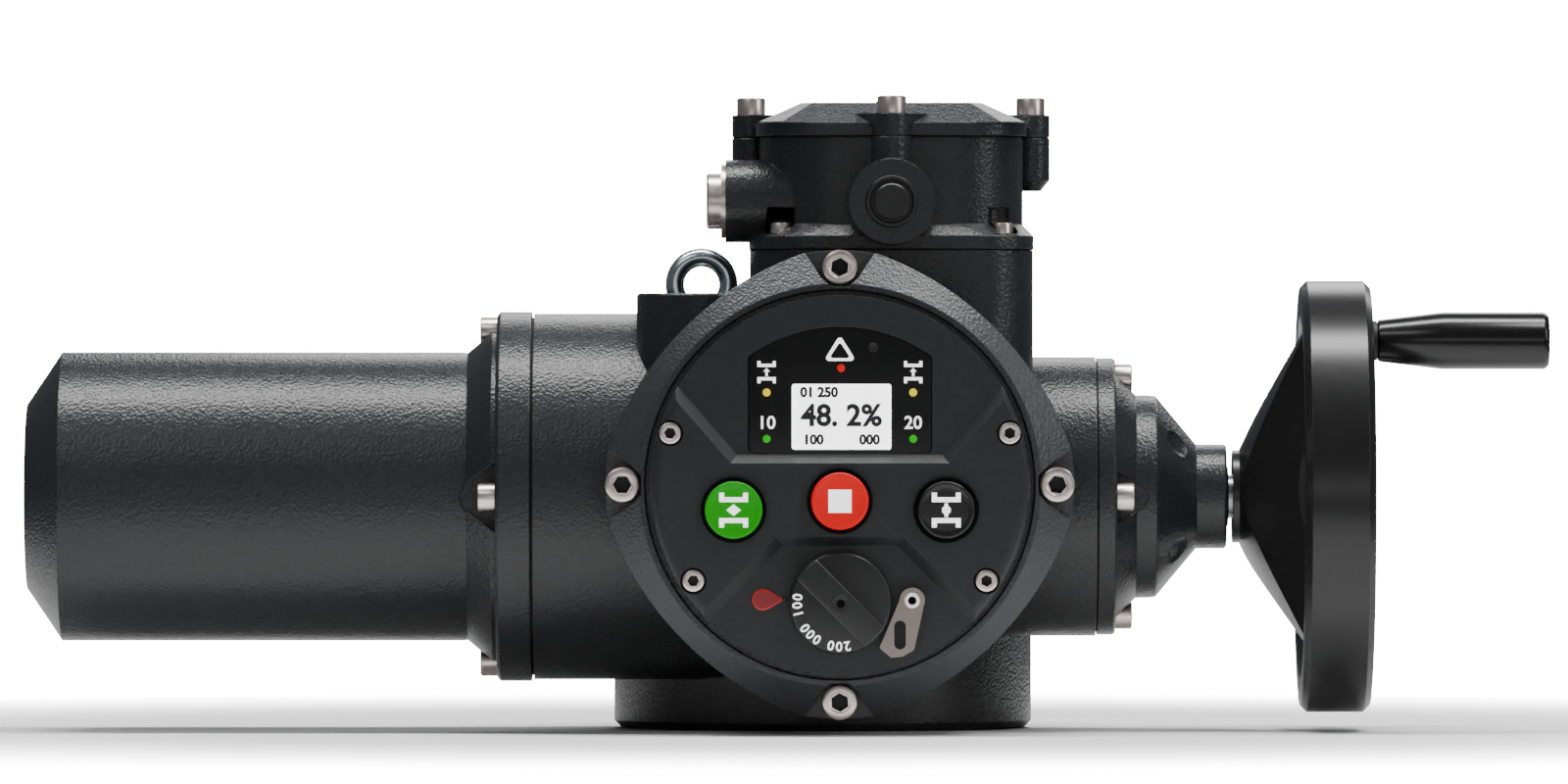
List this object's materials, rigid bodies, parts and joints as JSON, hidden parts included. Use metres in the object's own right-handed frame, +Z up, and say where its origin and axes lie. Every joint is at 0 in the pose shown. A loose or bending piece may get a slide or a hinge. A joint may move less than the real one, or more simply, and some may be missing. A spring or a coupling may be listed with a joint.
{
  "type": "multi-turn electric actuator",
  "caption": "Multi-turn electric valve actuator with motor, worm gear, operator panel, terminal box and handwheel.",
  "frame": {"origin": "centre of the bottom mounting face, on the output axis", "axes": "+Z up along the output axis, +X towards the handwheel, operator panel faces -Y"},
  "size_m": [0.6967, 0.3146, 0.2897],
  "materials": {
    "casting_paint": "dark textured powder coat",
    "panel_black": "fine grained dark moulding",
    "handwheel_gloss": "glossy black moulding",
    "screw_steel": "bright stainless screw",
    "zinc": "bright zinc plated forging",
    "stainless": "brushed stainless sheet",
    "machined_steel": "turned steel",
    "bronze": "turned bronze",
    "copper": "enamelled copper wire",
    "seal_rubber": "moulded rubber",
    "cast_iron_inner": "plain casting",
    "board_green": "lacquered circuit board",
    "black_plastic": "black moulding",
    "window_glass": "dark tinted window",
    "lamp": "clear signal lamp",
    "button_green": "green moulding",
    "button_red": "red moulding",
    "button_black": "black moulding"
  },
  "bodies": {
    "casing": {"gear_casing": "casting_paint", "motor_cover": "casting_paint", "motor_cover_bolts": "screw_steel", "motor_stator": "machined_steel", "stator_winding": "copper", "motor_bearings": "machined_steel", "motor_end_shield": "cast_iron_inner", "worm_bearings": "machined_steel", "worm_bearing_carrier": "machined_steel", "handwheel_cover": "casting_paint", "handwheel_cover_bolts": "screw_steel", "handwheel_shaft_bush": "bronze", "handwheel_shaft_seal": "seal_rubber", "eyebolt": "zinc", "output_bearings": "machined_steel", "bearing_retainer_ring": "machined_steel", "output_seal": "seal_rubber", "stem_cap_plug": "casting_paint", "control_cover": "casting_paint", "control_cover_bolts": "screw_steel", "cover_seals": "seal_rubber", "operator_panel": "panel_black", "panel_screws": "screw_steel", "display_window": "window_glass", "display_board": "board_green", "status_lamps": "lamp", "button_rings": "panel_black", "mode_pointer": "button_red", "hasp_rivet": "screw_steel", "logic_board": "board_green", "power_supply": "cast_iron_inner", "encoder_sensor": "black_plastic", "terminal_housing": "casting_paint", "terminal_housing_bolts": "screw_steel", "terminal_lid": "casting_paint", "terminal_lid_bolts": "screw_steel", "cable_plug_side": "screw_steel", "cable_plug_front": "black_plastic", "terminal_block": "black_plastic", "terminal_studs": "bronze"},
    "output": {"output_sleeve": "machined_steel", "worm_wheel": "bronze", "drive_bush": "machined_steel", "encoder_magnet_ring": "black_plastic"},
    "worm": {"worm_shaft": "machined_steel", "torque_spring_pack": "machined_steel", "clutch_hub": "machined_steel", "shaft_coupling": "machined_steel", "motor_rotor": "machined_steel"},
    "handwheel_unit": {"handwheel": "handwheel_gloss", "handwheel_shaft": "machined_steel", "handwheel_screw": "screw_steel", "crank_spindle": "screw_steel"},
    "grip": {"crank_grip": "handwheel_gloss"},
    "clutch": {"clutch_ring": "machined_steel"},
    "open_push": {"open_button": "button_green"},
    "stop_push": {"stop_button": "button_red"},
    "close_push": {"close_button": "button_black"},
    "knob": {"selector_knob": "handwheel_gloss"},
    "hasp": {"padlock_hasp": "stainless"}
  },
  "joints": [
    {"name": "handwheel_spin", "type": "hinge", "parent": "casing", "child": "handwheel_unit", "pos_m": [0.15, -0.07, 0.107], "axis": [1, 0, 0], "continuous": true},
    {"name": "worm_spin", "type": "hinge", "parent": "casing", "child": "worm", "pos_m": [0, -0.07, 0.107], "axis": [1, 0, 0], "continuous": true},
    {"name": "output_spin", "type": "hinge", "parent": "casing", "child": "output", "pos_m": [0, 0, 0.08], "axis": [0, 0, 1], "continuous": true},
    {"name": "grip_spin", "type": "hinge", "parent": "handwheel_unit", "child": "grip", "pos_m": [0.29, -0.11794, 0.1784], "axis": [1, 0, 0], "continuous": true},
    {"name": "clutch_slide", "type": "slide", "parent": "handwheel_unit", "child": "clutch", "axis": [1, 0, 0], "range_m": [0, 0.008]},
    {"name": "open_press", "type": "slide", "parent": "casing", "child": "open_push", "axis": [0, 1, 0], "range_m": [0, 0.002], "stiffness_N_per_m": 1000},
    {"name": "stop_press", "type": "slide", "parent": "casing", "child": "stop_push", "axis": [0, 1, 0], "range_m": [0, 0.002], "stiffness_N_per_m": 1000},
    {"name": "close_press", "type": "slide", "parent": "casing", "child": "close_push", "axis": [0, 1, 0], "range_m": [0, 0.002], "stiffness_N_per_m": 1000},
    {"name": "knob_turn", "type": "hinge", "parent": "casing", "child": "knob", "pos_m": [0.0076, -0.2, 0.0597], "axis": [0, 1, 0], "range_deg": [0, 90]},
    {"name": "hasp_swing", "type": "hinge", "parent": "casing", "child": "hasp", "pos_m": [0.0399, -0.201, 0.0609], "axis": [0, -1, 0], "range_deg": [0, 60]}
  ],
  "couplings": [
    {"joint": "worm_spin", "follows": "handwheel_spin", "ratio": 1},
    {"joint": "output_spin", "follows": "handwheel_spin", "ratio": -0.025}
  ]
}
